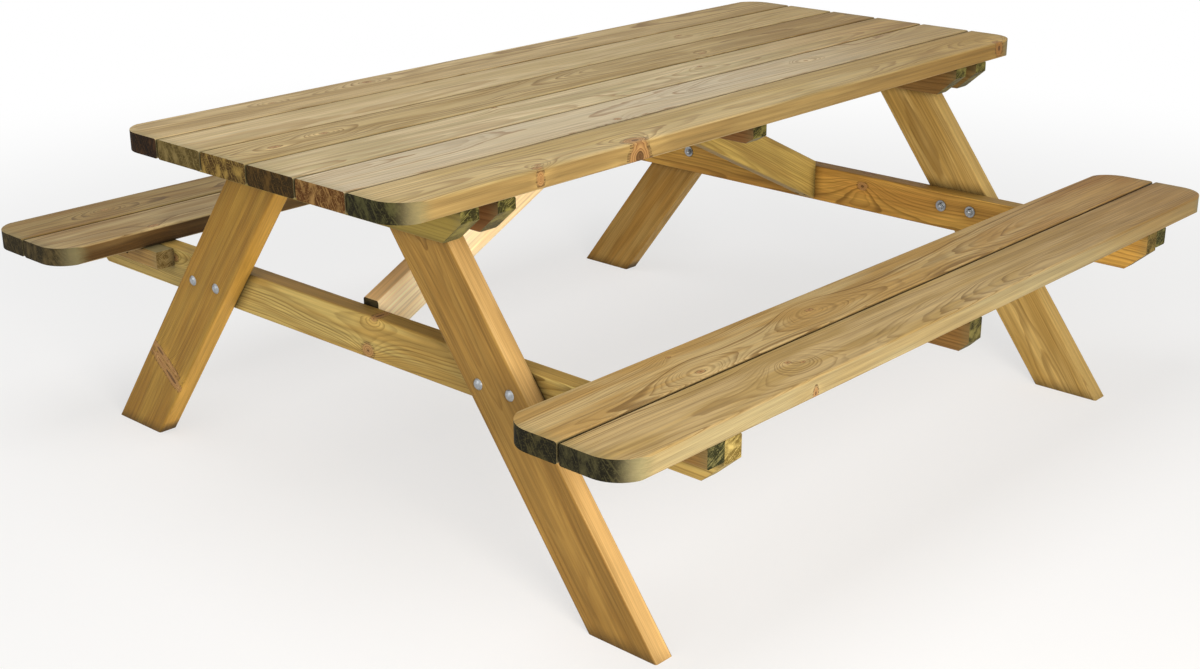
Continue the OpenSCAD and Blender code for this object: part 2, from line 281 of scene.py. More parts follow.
# Blotches by their size in mm along, across and through the stick. Real fibres and saw marks are
# far finer, and these are as coarse as they need to be to show.
aslant = add(wood, "ShaderNodeVectorRotate", {"Vector": here, "Angle": 0.5}, rotation_type="X_AXIS")
marks = {}
for name, place, size, detail in (
    ("bend", here, (520, 120, 120), 1.0),
    ("ripple", here, (110, 26, 26), 2.0),
    ("fibre", here, (75, 1.2, 1.2), 2.0),
    ("streak", here, (260, 6, 6), 2.0),
    ("patch", here, (300, 42, 42), 2.5),
    ("mottle", here, (60, 19, 30), 3.0),
    ("speck", here, (5, 2.8, 2.8), 1.0),
    ("saw mark", aslant.outputs[0], (40, 2.6, 30), 1.0),
):
    marks[name] = add(
        wood,
        "ShaderNodeGroup",
        {"Place": place, "Size": size, "Shift": shift, "Detail": detail},
        node_tree=blotches,
    ).outputs
fibre = marks["fibre"]["Fac"]

# The trunk isn't straight, so its pith wanders, and the rings have small waves
WANDER_MM = 26.0
WAVE_MM = 3.6
wander = add(
    wood,
    "ShaderNodeVectorMath",
    {0: marks["bend"]["Color"], 1: (0, WANDER_MM, WANDER_MM), 2: (0, -WANDER_MM / 2, -WANDER_MM / 2)},
    operation="MULTIPLY_ADD",
)
wave = add(
    wood,
    "ShaderNodeVectorMath",
    {0: marks["ripple"]["Color"], 1: (0, WAVE_MM, WAVE_MM), 2: wander.outputs[0]},
    operation="MULTIPLY_ADD",
)
along = add(wood, "ShaderNodeSeparateXYZ", {0: here}).outputs["X"]
lean = add(wood, "ShaderNodeVectorMath", {0: source["Tilt"], "Scale": along}, operation="SCALE")
axis = add(wood, "ShaderNodeVectorMath", {0: source["Pith"], 1: lean.outputs[0]}, operation="ADD")
radial = add(wood, "ShaderNodeVectorMath", {0: here, 1: axis.outputs[0]}, operation="SUBTRACT")
radial = add(wood, "ShaderNodeVectorMath", {0: radial.outputs[0], 1: wave.outputs[0]}, operation="ADD")
radial = add(wood, "ShaderNodeVectorMath", {0: radial.outputs[0], 1: (0, 1, 1)}, operation="MULTIPLY")
radius = add(wood, "ShaderNodeVectorMath", {0: radial.outputs[0]}, operation="LENGTH")
grown = add(wood, "ShaderNodeMath", {0: radius.outputs["Value"], 1: source["Swell"]}, operation="SUBTRACT")
years = add(wood, "ShaderNodeMath", {0: grown.outputs[0], 1: source["Ring"]}, operation="DIVIDE")

# Good and bad years come in runs, and each year's latewood has its own strength
run = add(
    wood,
    "ShaderNodeMath",
    {0: years.outputs[0], 1: 0.31, 2: source["Seed"]},
    operation="MULTIPLY_ADD",
)
weather = add(
    wood, "ShaderNodeTexNoise", {"W": run.outputs[0], "Scale": 1.0, "Detail": 1.0}, noise_dimensions="1D"
)
years = add(
    wood,
    "ShaderNodeMath",
    {0: weather.outputs["Fac"], 1: 2.4, 2: years.outputs[0]},
    operation="MULTIPLY_ADD",
).outputs[0]
season = add(wood, "ShaderNodeMath", {0: years}, operation="FRACT").outputs[0]
year = add(wood, "ShaderNodeMath", {0: years}, operation="FLOOR")
year = add(wood, "ShaderNodeMath", {0: year.outputs[0], 1: source["Seed"]}, operation="ADD")
vigour = add(wood, "ShaderNodeTexWhiteNoise", {"W": year.outputs[0]}, noise_dimensions="1D")
summer = add(
    wood,
    "ShaderNodeMapRange",
    {"Value": season, "From Min": 0.35, "From Max": 0.92},
    interpolation_type="SMOOTHSTEP",
)
winter = add(
    wood,
    "ShaderNodeMapRange",
    {"Value": season, "From Min": 0.92, "From Max": 1.0, "To Min": 1.0, "To Max": 0.0},
    interpolation_type="SMOOTHSTEP",
)
strong = add(wood, "ShaderNodeMapRange", {"Value": vigour.outputs["Value"], "To Min": 0.3})
late = add(wood, "ShaderNodeMath", {0: summer.outputs[0], 1: winter.outputs[0]}, operation="MULTIPLY")
late = add(
    wood, "ShaderNodeMath", {0: late.outputs[0], 1: strong.outputs[0]}, operation="MULTIPLY"
).outputs[0]

# Where the preservative went in deeper, hand-sized patches have another tone, and the narrow
# faces have one of their own
flushed = add(
    wood,
    "ShaderNodeMapRange",
    {"Value": marks["patch"]["Fac"], "From Min": 0.40, "From Max": 0.62},
    interpolation_type="SMOOTHSTEP",
)
ground = add(
    wood,
    "ShaderNodeMix",
    {0: flushed.outputs[0], 6: source["Earlywood"], 7: source["Flush"]},
    data_type="RGBA",
)
half_flushed = add(wood, "ShaderNodeMath", {0: flushed.outputs[0], 1: 0.4}, operation="MULTIPLY")
edge_wood = add(
    wood,
    "ShaderNodeMix",
    {0: half_flushed.outputs[0], 6: source["Edge"], 7: source["Flush"]},
    data_type="RGBA",
)
ground = add(
    wood,
    "ShaderNodeMix",
    {0: source["Edge face"], 6: ground.outputs[2], 7: edge_wood.outputs[2]},
    data_type="RGBA",
)

# Painted sheen: round a branch the fibres turn outwards, and in flames there the colour is painted paler,
# as where they catch the light
knot_sheen = add(
    wood,
    "ShaderNodeMapRange",
    {"Value": source["Ratio"], "From Min": 1.0, "From Max": 4.0, "To Min": 0.85, "To Max": 0.0},
    interpolation_type="SMOOTHSTEP",
)
flame = add(
    wood,
    "ShaderNodeMapRange",
    {"Value": marks["ripple"]["Fac"], "From Min": 0.46, "From Max": 0.62},
    interpolation_type="SMOOTHSTEP",
)
knot_sheen = add(wood, "ShaderNodeMath", {0: knot_sheen.outputs[0], 1: flame.outputs[0]}, operation="MULTIPLY")
sheen_tone = add(wood, "ShaderNodeVectorMath", {0: ground.outputs[2], "Scale": 1.32}, operation="SCALE")
ground = add(
    wood, "ShaderNodeMix", {0: knot_sheen.outputs[0], 6: ground.outputs[2], 7: sheen_tone.outputs[0]}, data_type="RGBA"
)

# Latewood lines, fainter on the narrow faces, and over them fibres and darker streaks
plain = add(wood, "ShaderNodeMapRange", {"Value": source["Edge face"], "To Min": 1.0, "To Max": 0.5})
lines = add(wood, "ShaderNodeMath", {0: late, 1: source["Contrast"]}, operation="MULTIPLY")
lines = add(wood, "ShaderNodeMath", {0: lines.outputs[0], 1: plain.outputs[0]}, operation="MULTIPLY")
face = add(
    wood,
    "ShaderNodeMix",
    {0: lines.outputs[0], 6: ground.outputs[2], 7: source["Latewood"]},
    data_type="RGBA",
).outputs[2]
shade = add(wood, "ShaderNodeMath", {0: fibre, 1: 0.34, 2: 0.35}, operation="MULTIPLY_ADD")
shade = add(
    wood,
    "ShaderNodeMath",
    {0: marks["streak"]["Fac"], 1: 0.96, 2: shade.outputs[0]},
    operation="MULTIPLY_ADD",
)
face = add(wood, "ShaderNodeVectorMath", {0: face, "Scale": shade.outputs[0]}, operation="SCALE").outputs[0]

# Inside a branch are small rings of its own, a dark middle and, part of the way round, a rim of
# bark
jagged = add(
    wood,
    "ShaderNodeMath",
    {0: marks["ripple"]["Fac"], 1: 0.9, 2: source["Ratio"]},
    operation="MULTIPLY_ADD",
)
jagged = add(wood, "ShaderNodeMath", {0: jagged.outputs[0], 1: 0.45}, operation="SUBTRACT").outputs[0]
inside = add(
    wood,
    "ShaderNodeMapRange",
    {"Value": jagged, "From Min": 0.7, "From Max": 1.1, "To Min": 0.85, "To Max": 0.0},
    interpolation_type="SMOOTHSTEP",
)
small_years = add(wood, "ShaderNodeMath", {0: jagged, 1: 4.5}, operation="MULTIPLY")
small_season = add(wood, "ShaderNodeMath", {0: small_years.outputs[0]}, operation="FRACT")
knot_wood = add(
    wood,
    "ShaderNodeMix",
    {0: small_season.outputs[0], 6: tone("#c59a62"), 7: tone("#7d4f28")},
    data_type="RGBA",
)
face = add(
    wood, "ShaderNodeMix", {0: inside.outputs[0], 6: face, 7: knot_wood.outputs[2]}, data_type="RGBA"
)
rim = add(wood, "ShaderNodeMath", {0: jagged, 1: 1.0, 2: 0.16}, operation="COMPARE")
core = add(wood, "ShaderNodeMath", {0: jagged, 1: 0.26}, operation="LESS_THAN")
bark = add(wood, "ShaderNodeMath", {0: fibre, 1: 0.52}, operation="GREATER_THAN")
rim = add(wood, "ShaderNodeMath", {0: rim.outputs[0], 1: bark.outputs[0]}, operation="MULTIPLY")
dark = add(wood, "ShaderNodeMath", {0: rim.outputs[0], 1: core.outputs[0]}, operation="MAXIMUM")
dark = add(wood, "ShaderNodeMath", {0: dark.outputs[0], 1: 0.75}, operation="MULTIPLY")
face = add(
    wood, "ShaderNodeMix", {0: dark.outputs[0], 6: face.outputs[2], 7: tone("#4b3018")}, data_type="RGBA"
).outputs[2]

# Painted shade: towards a stick's +X end, the right end of every board, the colour turns a little darker
# and yellower, for the light falling off away from the lamps
far_end_shade = add(wood, "ShaderNodeMath", {0: along, 1: source["Half"]}, operation="DIVIDE")
far_end_shade = add(
    wood, "ShaderNodeMapRange", {"Value": far_end_shade.outputs[0], "From Min": 0.1}, interpolation_type="SMOOTHSTEP"
)
face = add(
    wood,
    "ShaderNodeMix",
    {0: far_end_shade.outputs[0], 6: face, 7: source["Far end shade"]},
    data_type="RGBA",
    blend_type="MULTIPLY",
).outputs[2]

# The preservative tints the faces grey green for a few centimetres from each end, in a ragged
# line, and the narrow faces further in
SOAKED_MM = 44.0
RAGGED_MM = 30.0
depth = add(wood, "ShaderNodeMath", {0: along}, operation="ABSOLUTE")
depth = add(wood, "ShaderNodeMath", {0: source["Half"], 1: depth.outputs[0]}, operation="SUBTRACT")
depth = add(wood, "ShaderNodeMath", {0: fibre, 1: RAGGED_MM, 2: depth.outputs[0]}, operation="MULTIPLY_ADD")
depth = add(
    wood,
    "ShaderNodeMath",
    {0: source["Edge face"], 1: -SOAKED_MM, 2: depth.outputs[0]},
    operation="MULTIPLY_ADD",
)
soaked = add(
    wood,
    "ShaderNodeMapRange",
    {"Value": depth.outputs[0], "From Min": 10.0, "From Max": SOAKED_MM, "To Min": 1.0, "To Max": 0.0},
    interpolation_type="SMOOTHSTEP",
)
drink = add(wood, "ShaderNodeMapRange", {"Value": source["Edge face"], "To Min": 0.35, "To Max": 0.7})
soaked = add(wood, "ShaderNodeMath", {0: soaked.outputs[0], 1: drink.outputs[0]}, operation="MULTIPLY")
face = add(
    wood, "ShaderNodeMix", {0: soaked.outputs[0], 6: face, 7: tone("#7d7853")}, data_type="RGBA"
).outputs[2]

# Cut ends drink most: nearly black green in blotches, specked, and scored aslant by the saw
bright = add(
    wood,
    "ShaderNodeMapRange",
    {"Value": marks["mottle"]["Fac"], "From Min": 0.44, "From Max": 0.70, "To Max": 0.9},
    interpolation_type="SMOOTHSTEP",
)
cut = add(
    wood,
    "ShaderNodeMix",
    {0: bright.outputs[0], 6: source["End dark"], 7: source["End light"]},
    data_type="RGBA",
).outputs[2]
for value, low, high, most in (
    (marks["speck"]["Fac"], 0.54, 0.68, 0.5),
    (marks["saw mark"]["Fac"], 0.56, 0.68, 0.6),
    (late, 0.3, 0.9, 0.25),
):
    share = add(
        wood,
        "ShaderNodeMapRange",
        {"Value": value, "From Min": low, "From Max": high, "To Max": most},
        interpolation_type="SMOOTHSTEP",
    )
    cut = add(
        wood, "ShaderNodeMix", {0: share.outputs[0], 6: cut, 7: source["End light"]}, data_type="RGBA"
    ).outputs[2]
colour = add(wood, "ShaderNodeMix", {0: source["End face"], 6: face, 7: cut}, data_type="RGBA")

# Painted shade: the colour is darkened in the gaps and where sticks meet, where shade falls
PAINTED_SHADE_REACH = 0.026
shade_occlusion = add(wood, "ShaderNodeAmbientOcclusion", {"Distance": PAINTED_SHADE_REACH}, samples=6)
painted_shade = add(
    wood,
    "ShaderNodeMapRange",
    {"Value": shade_occlusion.outputs["AO"], "From Min": 0.35, "From Max": 0.97, "To Min": 0.18, "To Max": 1.0},
)
# The colour is scaled down by this painted shade
colour = add(
    wood, "ShaderNodeVectorMath", {0: colour.outputs[2], "Scale": painted_shade.outputs[0]}, operation="SCALE"
)

# Latewood and fibres stand up a little from the planed face. It is dull, and cut ends are duller.
relief = add(wood, "ShaderNodeMath", {0: late, 1: 0.5, 2: fibre}, operation="MULTIPLY_ADD")
relief = add(
    wood,
    "ShaderNodeMath",
    {0: marks["speck"]["Fac"], 1: 0.35, 2: relief.outputs[0]},
    operation="MULTIPLY_ADD",
)
dry = add(wood, "ShaderNodeMath", {0: fibre, 1: 0.2, 2: 0.5}, operation="MULTIPLY_ADD")
dry = add(wood, "ShaderNodeMath", {0: dry.outputs[0], 1: source["End face"]}, operation="MAXIMUM")
add(
    wood,
    "NodeGroupOutput",
    {"Color": colour.outputs[0], "Roughness": dry.outputs[0], "Height": relief.outputs[0]},
)

# A stick's own axes in the table's frame: along the grain, across its width, through it
LENGTHWAYS = ((1, 0, 0), (0, 1, 0), (0, 0, 1))
CROSSWAYS = ((0, 1, 0), (0, 0, 1), (1, 0, 0))

# Height of the raised grain: more than planing leaves, so that it shows
RELIEF = 0.0006


def pine(
    node, axes, pith, seed, earlywood, latewood, flush, edge, tilt=(0.004, 0.01), ring=3.6,
    contrast=0.85, end_dark="#2a2413", end_light="#5e5232", far_end_shade="#ffffff", knots=(), half=None,
):
    """Gives a CAD node its pine. pith is (across, through) at the stick's middle, and tilt is how
    that moves for each mm along. flush is the tone of the deeper treated patches and edge that of
    the narrow faces. ring is a year's growth, and contrast is how dark the latewood lines are. A
    knot is (along, across, through, radius, reach, swell). half is half the stick's length, or far
    more than that if its faces aren't soaked near the ends."""
    # The colour given for the far end is painted shade: it darkens the stick towards +X, where the light
    # falls off
    low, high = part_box(node)
    made = empty_material(f"pressure-treated pine {node}")
    tree = made.node_tree
    place = add(tree, "ShaderNodeTexCoord")
    local = add(
        tree,
        "ShaderNodeMapping",
        {
            "Vector": place.outputs["Object"],
            "Location": (low + high) / 2,
            "Rotation": Matrix(axes).transposed().to_euler(),
            "Scale": (0.001, 0.001, 0.001),
        },
        vector_type="TEXTURE",
    ).outputs[0]
    normal = add(tree, "ShaderNodeNewGeometry").outputs["Normal"]
    endwise = add(tree, "ShaderNodeVectorMath", {0: normal, 1: axes[0]}, operation="DOT_PRODUCT")
    endwise = add(tree, "ShaderNodeMath", {0: endwise.outputs["Value"]}, operation="ABSOLUTE")
    end_face = add(
        tree,
        "ShaderNodeMapRange",
        {"Value": endwise.outputs[0], "From Min": 0.25, "From Max": 0.9},
        interpolation_type="SMOOTHSTEP",
    )
    broad = add(tree, "ShaderNodeVectorMath", {0: normal, 1: axes[2]}, operation="DOT_PRODUCT")
    broad = add(tree, "ShaderNodeMath", {0: broad.outputs["Value"]}, operation="ABSOLUTE")
    edge_face = add(
        tree,
        "ShaderNodeMapRange",
        {"Value": broad.outputs[0], "From Min": 0.2, "From Max": 0.8, "To Min": 1.0, "To Max": 0.0},
        interpolation_type="SMOOTHSTEP",
    )

    # With no branch near, nothing swells and the ratio is high. A branch sets out from the pith a
    # little before its knot.
    swell = 0.0
    ratio = 20.0
    for along, across, through, size, spread, bulge in knots:
        foot = Vector((along - 0.3 * size, *pith))
        heading = Vector((ALONG_SHARE * (along - foot.x), across - foot.y, through - foot.z))
        limb = add(
            tree,
            "ShaderNodeGroup",
            {
                "Place": local,
                "Foot": foot,
                "Heading": heading.normalized(),
                "Radius": size,
                "Reach": spread,
                "Swell": bulge,
            },
            node_tree=branch,
        ).outputs
        swell = add(tree, "ShaderNodeMath", {0: limb["Swell"], 1: swell}, operation="ADD").outputs[0]
        ratio = add(tree, "ShaderNodeMath", {0: limb["Ratio"], 1: ratio}, operation="MINIMUM").outputs[0]

    length = 1000 * (high - low).dot(Vector(axes[0]))
    grain = add(
        tree,
        "ShaderNodeGroup",
        {
            "Place": local,
            "Pith": (0, *pith),
            "Tilt": (0, *tilt),
            "Ring": ring,
            "Seed": seed,
            "Swell": swell,
            "Ratio": ratio,
            "Half": half or length / 2,
            "End face": end_face.outputs[0],
            "Edge face": edge_face.outputs[0],
            "Earlywood": tone(earlywood),
            "Latewood": tone(latewood),
            "Flush": tone(flush),
            "Edge": tone(edge),
            "End dark": tone(end_dark),
            "End light": tone(end_light),
            "Contrast": contrast,
            "Far end shade": tone(far_end_shade),
        },
        node_tree=wood,
    ).outputs
    bump = add(tree, "ShaderNodeBump", {"Height": grain["Height"], "Strength": 0.4, "Distance": RELIEF})
    skin = add(
        tree,
        "ShaderNodeBsdfPrincipled",
        {
            "Base Color": grain["Color"],
            "Roughness": grain["Roughness"],
            "Normal": bump.outputs[0],
            "IOR": 1.5,
            "Specular IOR Level": 0.22,
        },
    )
    add(tree, "ShaderNodeOutputMaterial", {"Surface": skin.outputs[0]})
    nodes[node].material_slots[0].material = made


# Each board's last colour is painted shade on its right end
pine(
    "top_board_1", LENGTHWAYS, (-14, 105), 3, "#c2aa77", "#826030", "#b39a62", "#9c824f",
    tilt=(0.004, 0.012), ring=3.0, end_dark="#181507", end_light="#4b4929",
    far_end_shade="#eee0b9",
    knots=[
        (-588, -41, 17, 4, 14, 8), (-601, -60, 0, 6, 16, 10), (-360, -60, -8, 15, 30, 16),
        (821, -54, 17, 8, 30, 16),
    ],
)
pine(
    "top_board_2", LENGTHWAYS, (25, -110), 11, "#c8b692", "#92714b", "#c6b696", "#a89062",
    tilt=(-0.010, 0.008), ring=2.6, end_dark="#503010", end_light="#9e7b47",
    far_end_shade="#e5d6b1",
    knots=[(-265, -48, 17, 5, 22, 10), (380, 10, 17, 4, 24, 12)],
)
pine(
    "top_board_3", LENGTHWAYS, (-30, -90), 17, "#cdb98f", "#977548", "#b6a478", "#a38a5b",
    tilt=(0.006, -0.014), ring=3.0, end_dark="#2a1e06", end_light="#5d441c",
    far_end_shade="#e4d1aa",
    knots=[(-350, 56, 17, 5, 18, 8), (190, 10, 17, 4, 24, 12)],
)
pine(
    "top_board_4", LENGTHWAYS, (10, -120), 23, "#baa270", "#80612d", "#a48a55", "#957b49",
    tilt=(0.0, 0.010), ring=2.8, contrast=0.95, end_dark="#422e11", end_light="#9e8242",
    far_end_shade="#e3d6b6",
    knots=[(-798, -7, 17, 7, 26, 12), (-681, 9, 17, 5, 30, 18), (300, -30, 17, 6, 26, 14)],
)
pine(
    "top_board_5", LENGTHWAYS, (-20, -100), 31, "#cab488", "#9f804c", "#baa475", "#a78e5f",
    tilt=(0.008, -0.006), ring=3.0, contrast=0.7, end_dark="#4e401c", end_light="#857345",
    far_end_shade="#ece3c9",
    knots=[(420, 10, 17, 5, 24, 12)],
)
pine(
    "top_board_6", LENGTHWAYS, (30, -85), 41, "#c5ac7c", "#806233", "#ac9261", "#957d4e",
    tilt=(-0.004, 0.012), ring=2.8, end_dark="#160d05", end_light="#462f18",
    far_end_shade="#ede6ce",
    knots=[(-359, 25, 17, 6, 28, 16), (-597, 14, 17, 4, 24, 10)],
)

# ---- Seats ----
# Two boards to a seat, of the same stock as the tabletop, with the seat's four corners rounded.
# They are screwed to blocks and a batten from below. The front seat's boards are flat-sawn, with
# long flames and fine swirls round their knots.
# Each seat board's last colour is painted shade on its right end
pine(
    "front_seat_outer_board", LENGTHWAYS, (-40, -72), 53, "#bca16e", "#735629", "#ab8e55", "#af9f73",
    tilt=(-0.038, 0.018), ring=2.3, end_dark="#121005", end_light="#454127",
    far_end_shade="#e2d2b6",
    knots=[(-458, 8, 17, 4, 36, 22), (-440, -8, 17, 3, 20, 8), (-476, -60, -10, 4, 10, 4)],
)
pine(
    "front_seat_inner_board", LENGTHWAYS, (-22, -80), 61, "#bfa571", "#795b2d", "#af8d52", "#a58853",
    tilt=(0.02, 0.014), ring=2.3, end_dark="#131105", end_light="#4a4426",
    far_end_shade="#e2cda6",
    knots=[(-579, -41, 17, 6, 34, 24), (-566, 36, 17, 3, 16, 10), (-237, 2, 17, 5, 40, 24)],
)
# The rear seat's inner board has lighter tones than its outer one, partly its own and partly painted light
# against the shade that the tabletop casts on it
pine(
    "rear_seat_inner_board", LENGTHWAYS, (20, -95), 67, "#b49d6d", "#6a4d26", "#9a7d4d", "#4b3517",
    tilt=(0.004, 0.010), ring=3.0, end_dark="#2a2414", end_light="#5a4d30",
    far_end_shade="#e6d4b8",
    knots=[(-697, -45, 17, 7, 26, 14)],
)
pine(
    "rear_seat_outer_board", LENGTHWAYS, (-10, -85), 71, "#9e844f", "#5d431b", "#886935", "#493316",
    tilt=(0.0, 0.012), ring=3.0, end_dark="#2a2414", end_light="#5a4d30",
    far_end_shade="#e6d4b8",
    knots=[(-700, 0, 17, 5, 26, 14)],
)

# ---- Legs ----
# Four leaning legs 115 x 40 mm of straight-grained yellow sapwood, cut level at the foot and
# under the tabletop, and bolted between its beams. Their faces aren't soaked near the ends.
LEG_LEAN = math.radians(37)
FAR_ENDS_MM = 2000.0

# The side that a leg's foot stands on, -1 for the front, and then its pith, seed and tones
LEGS = {
    # The front left leg's broad faces have a darker tone and its narrow faces a much lighter one: painted
    # shade on the broad faces and painted light on the narrow faces, for how the key light falls on them
    "leg_front_left": (-1, (4, -70), 83, "#a07c3b", "#704e1c", "#8f6c30", "#d4ad6e"),
    "leg_rear_left": (1, (-140, 30), 89, "#aa8538", "#795720", "#9d752d", "#c89c47"),
    "leg_front_right": (-1, (20, -80), 97, "#c2a361", "#896a34", "#ae8d4b", "#c5a662"),
    "leg_rear_right": (1, (120, 20), 101, "#b69250", "#866429", "#a57c39", "#bc9752"),
}
LEG_KNOTS = {"leg_rear_left": [(-225, -18, 20, 7, 28, 14), (-205, 30, 20, 5, 18, 8)]}
for node, (side, pith, seed, earlywood, latewood, flush, edge) in LEGS.items():
    grain_way = Vector((0, -side * math.sin(LEG_LEAN), math.cos(LEG_LEAN)))
    width_way = Vector((0, math.cos(LEG_LEAN), side * math.sin(LEG_LEAN)))
    axes = (tuple(grain_way), tuple(width_way), tuple(grain_way.cross(width_way)))
    pine(
        node, axes, pith, seed, earlywood, latewood, flush, edge, ring=2.6, contrast=0.75, half=FAR_ENDS_MM,
        knots=LEG_KNOTS.get(node, ()),
    )

# ---- Tabletop beams ----
# Five beams across the table, 40 mm thick, screwed to its boards. Four are bolted to the legs. The
# left outer one is olive brown, the others are darker and redder, and their cut ends are specked
# yellow green.
TOP_BEAMS = {
    "top_beam_left_outer": ((60, -40), 112, "#a39044", "#735f29", "#917f3c"),
    "top_beam_left_inner": ((-40, 90), 119, "#7a5532", "#533517", "#6b4827"),
    "top_beam_centre": ((50, -60), 126, "#7d5a34", "#573919", "#6e4c2a"),
    "top_beam_right_inner": ((-60, 70), 133, "#8a6a3a", "#5e441f", "#7a5b30"),
    "top_beam_right_outer": ((40, -80), 140, "#8a6e3c", "#5e4722", "#7a6033"),
}
for node, (pith, seed, earlywood, latewood, flush) in TOP_BEAMS.items():
    pine(
        node, CROSSWAYS, pith, seed, earlywood, latewood, flush, earlywood, ring=6.0,
        end_dark="#2f2c13", end_light="#8d8546",
    )

# ---- Seat beams, blocks and battens ----
# The two long seat beams are yellow-brown pine 80 x 40 mm with knots, bolted to the legs' inner
# faces. Screwed beside each of their ends is a short block, and under the middle of each seat a
# batten.
pine(
    "seat_beam_left", CROSSWAYS, (30, -80), 150, "#c2a962", "#7d5f28", "#ab8c48", "#ab8b47",
    ring=3.0, end_dark="#6f5c2a", end_light="#c9b26a",
    knots=[(546, 22, -20, 8, 34, 20), (-53, 38, -20, 6, 16, 10), (-34, -25, -20, 10, 26, 14)],
)
pine(
    "seat_beam_right", CROSSWAYS, (-40, -90), 157, "#d2a44f", "#7c5824", "#b7893f", "#a1803d",
    ring=3.2, end_dark="#4a3d1c", end_light="#9a8448",
    knots=[(-150, 15, -20, 8, 34, 20)],
)
BLOCKS = {
    "seat_block_front_left": ((30, -50), 164, "#26270f", "#8a8350"),
    "seat_block_rear_left": ((-40, -60), 171, "#5c4a26", "#a08c5c"),
    "seat_block_front_right": ((35, 60), 178, "#2e2d12", "#86804a"),
    "seat_block_rear_right": ((-30, 70), 185, "#3a3116", "#8f7c4a"),
}
for node, (pith, seed, dark, light) in BLOCKS.items():
    pine(
        node, CROSSWAYS, pith, seed, "#a08048", "#6a4c22", "#8c6c38", "#8c6c3c", ring=3.4,
        end_dark=dark, end_light=light,
    )
for node, pith, seed in (("seat_batten_front", (40, -70), 192), ("seat_batten_rear", (-45, -60), 199)):
    pine(
        node, CROSSWAYS, pith, seed, "#94703e", "#5f431e", "#7f5e30", "#94703e", ring=4.5,
        end_dark="#2e2a14", end_light="#7d7440",
    )

# ---- Braces ----
# Two slanting braces 80 x 40 mm from the seat beams up to the centre beam, cut upright at both and screwed
# on a slant. The left one is of pale sapwood, and its tones are lifted paler still as painted light, for
# the light that reaches it under the tabletop. The right one is a duller yellow brown.
BRACE_SLOPE = math.radians(26.1)

# The end that a brace comes from, -1 for the left, and then its pith, seed, tones and contrast
BRACES = {
    # The left brace's near-white tones are partly its pale sapwood and partly painted light
    "brace_left": (-1, (10, -110), 206, "#ffedc4", "#f0c88e", "#fce2b2", "#eac288", 0.3),
    "brace_right": (1, (-30, 90), 213, "#bba158", "#84682f", "#a68a4a", "#a68a4a", 0.7),
}
for node, (end, pith, seed, earlywood, latewood, flush, edge, contrast) in BRACES.items():
    grain_way = Vector((math.cos(BRACE_SLOPE), 0, -end * math.sin(BRACE_SLOPE)))
    width_way = Vector((end * math.sin(BRACE_SLOPE), 0, math.cos(BRACE_SLOPE)))
    axes = (tuple(grain_way), tuple(width_way), tuple(grain_way.cross(width_way)))
    pine(
        node, axes, pith, seed, earlywood, latewood, flush, edge, ring=2.8, contrast=contrast,
        half=FAR_ENDS_MM,
    )

# ---- Bolts, nuts and washers ----
# M8 carriage bolts in zinc-plated steel: a low dome and a square neck outside, and inside a
# washer, a hexagon nut with chamfered corners and 4 mm of rolled thread.
BOLT_RADIUS_MM = 4.0
BOLT_COLUMNS = 24
THREAD_PITCH_MM = 1.25
THREAD_DEPTH_MM = 0.68
THREAD_TURNS = 10
THREAD_ROWS = 6
DOME_RADIUS_MM = 10.0
DOME_HEIGHT_MM = 5.0
DOME_ROWS = 10
NECK_MM = 4.5
TAIL_MM = 4.0
WASHER_MM = 2.0
NUT_HALF_MM = 6.5
NUT_HEIGHT_MM = 6.5
NUT_FACE_MM = 6.4
NUT_STEP_MM = 0.05
NUT_BORE_MM = 4.1
NUT_BORE_CHAMFER_MM = 0.6
NUT_COLUMNS = 48
CHAMFER_SLOPE = 0.55
BEAM_INNER_FACE_MM = 655.0
BOLTS_APART_MM = 72.0

# Where the middle of a leg meets the tabletop's underside
LEG_TOP_ACROSS_MM = 165.0
LEG_TOP_HEIGHT_MM = 665.0

# How far out a bolt's dome sits along X, and its height over the ground
BOLT_ROWS_MM = {"seat_beam_bolts": (735.0, 365.0), "top_beam_bolts": (775.0, 635.0)}

# Zinc plating on smooth steel: bright and a little clouded. The darker spots in its colour are painted
# reflection, standing in for dark things the steel would mirror
ZINC_CLOUD_MM = 3.85
zinc = empty_material("zinc-plated steel")
tree = zinc.node_tree
place = add(tree, "ShaderNodeTexCoord")
cloud = add(
    tree,
    "ShaderNodeTexNoise",
    {"Vector": place.outputs["Object"], "Scale": 1000 / ZINC_CLOUD_MM, "Detail": 3.0},
)
dull = add(tree, "ShaderNodeMapRange", {"Value": cloud.outputs["Fac"], "To Min": 0.2, "To Max": 0.45})
# Painted reflection: the colour swings between dark and light grey in clouds
painted_reflection_tint = add(
    tree,
    "ShaderNodeMix",
    {0: cloud.outputs["Fac"], 6: tone("#6d7072"), 7: tone("#c2c5c7")},
    data_type="RGBA",
)
dents = add(tree, "ShaderNodeBump", {"Height": cloud.outputs["Fac"], "Strength": 0.5, "Distance": 0.0004})
skin = add(
    tree,
    "ShaderNodeBsdfPrincipled",
    {
        "Base Color": painted_reflection_tint.outputs[2],
        "Metallic": 1.0,
        "Roughness": dull.outputs[0],
        "Normal": dents.outputs[0],
    },
)
add(tree, "ShaderNodeOutputMaterial", {"Surface": skin.outputs[0]})


def joint_places(height):
    """Where the bolts of both A-frames cross at a height in mm: end, across and up."""
    middle = LEG_TOP_ACROSS_MM + (LEG_TOP_HEIGHT_MM - height) * math.tan(LEG_LEAN)
    return [
        (end, side * (middle + shift * BOLTS_APART_MM), height)
        for end in (-1, 1)
        for side in (-1, 1)
        for shift in (-0.5, 0.5)
    ]


